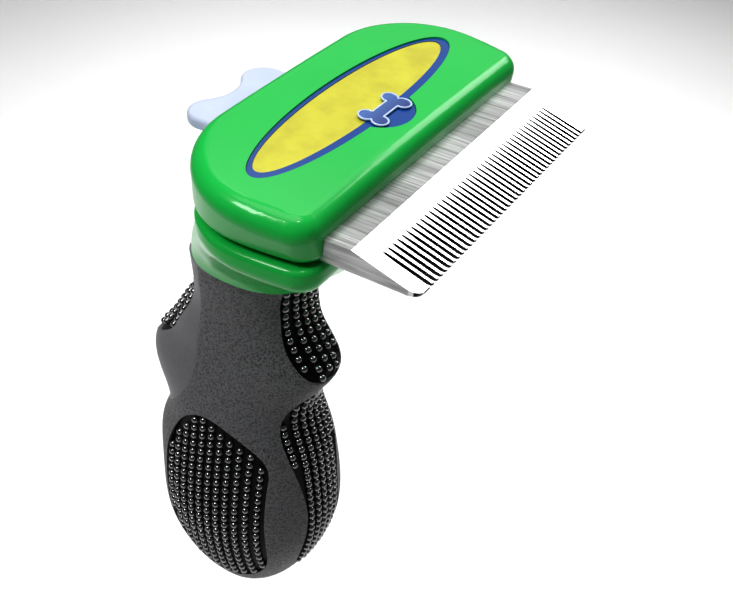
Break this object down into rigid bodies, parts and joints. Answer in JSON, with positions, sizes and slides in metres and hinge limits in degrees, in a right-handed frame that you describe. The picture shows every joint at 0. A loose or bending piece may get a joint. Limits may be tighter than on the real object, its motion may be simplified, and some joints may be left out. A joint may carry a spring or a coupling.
{
  "type": "deshedding tool",
  "caption": "Hand-held deshedding tool: a toothed steel blade in a plastic head on a soft textured grip, with a thumb button that pushes loose hair off the teeth.",
  "frame": {"origin": "middle of the grip, on the handle's axis", "axes": "+Z along the handle towards the head, -Y the way the teeth point, X along the blade's width"},
  "size_m": [0.0798, 0.0852, 0.151],
  "materials": {
    "shell_green": "gloss moulded",
    "badge_blue": "gloss moulded",
    "badge_yellow": "satin printed",
    "emblem_blue": "gloss moulded",
    "blade_steel": "brushed, polished bevel",
    "bright_steel": "plated",
    "inner_black": "matte moulded",
    "button_clear": "frosted translucent",
    "pad_black": "smooth gel",
    "saddle_grey": "satin moulded",
    "skin_grey": "fine grain",
    "core_grey": "matte moulded"
  },
  "bodies": {
    "tool": {"top_cover": "shell_green", "lower_housing": "shell_green", "slide_deck": "inner_black", "badge_rim": "badge_blue", "badge_field": "badge_yellow", "badge_emblem": "emblem_blue", "comb_blade": "blade_steel", "blade_spacers": "bright_steel", "blade_screws": "bright_steel", "cover_dowels": "bright_steel", "neck_screws": "bright_steel", "handle_screws": "bright_steel", "return_spring_right": "bright_steel", "return_spring_left": "bright_steel", "spring_guide_pins": "bright_steel", "finger_pad": "pad_black", "thumb_pad": "pad_black", "palm_pad_front": "pad_black", "palm_pad_rear": "pad_black", "palm_pad_right": "pad_black", "palm_pad_left": "pad_black", "thumb_saddle": "saddle_grey", "grip_skin": "skin_grey", "handle_core_front": "core_grey", "handle_core_rear": "core_grey"},
    "ejector": {"ejector_plate": "blade_steel", "ejector_rivets": "bright_steel", "slider_carriage": "inner_black", "button_pins": "bright_steel", "eject_button": "button_clear"}
  },
  "joints": [
    {"name": "eject_slide", "type": "slide", "parent": "tool", "child": "ejector", "axis": [0, -1, 0], "range_m": [0, 0.009], "stiffness_N_per_m": 120, "springref_m": -0.004, "deforming": ["return_spring_right", "return_spring_left"]}
  ]
}
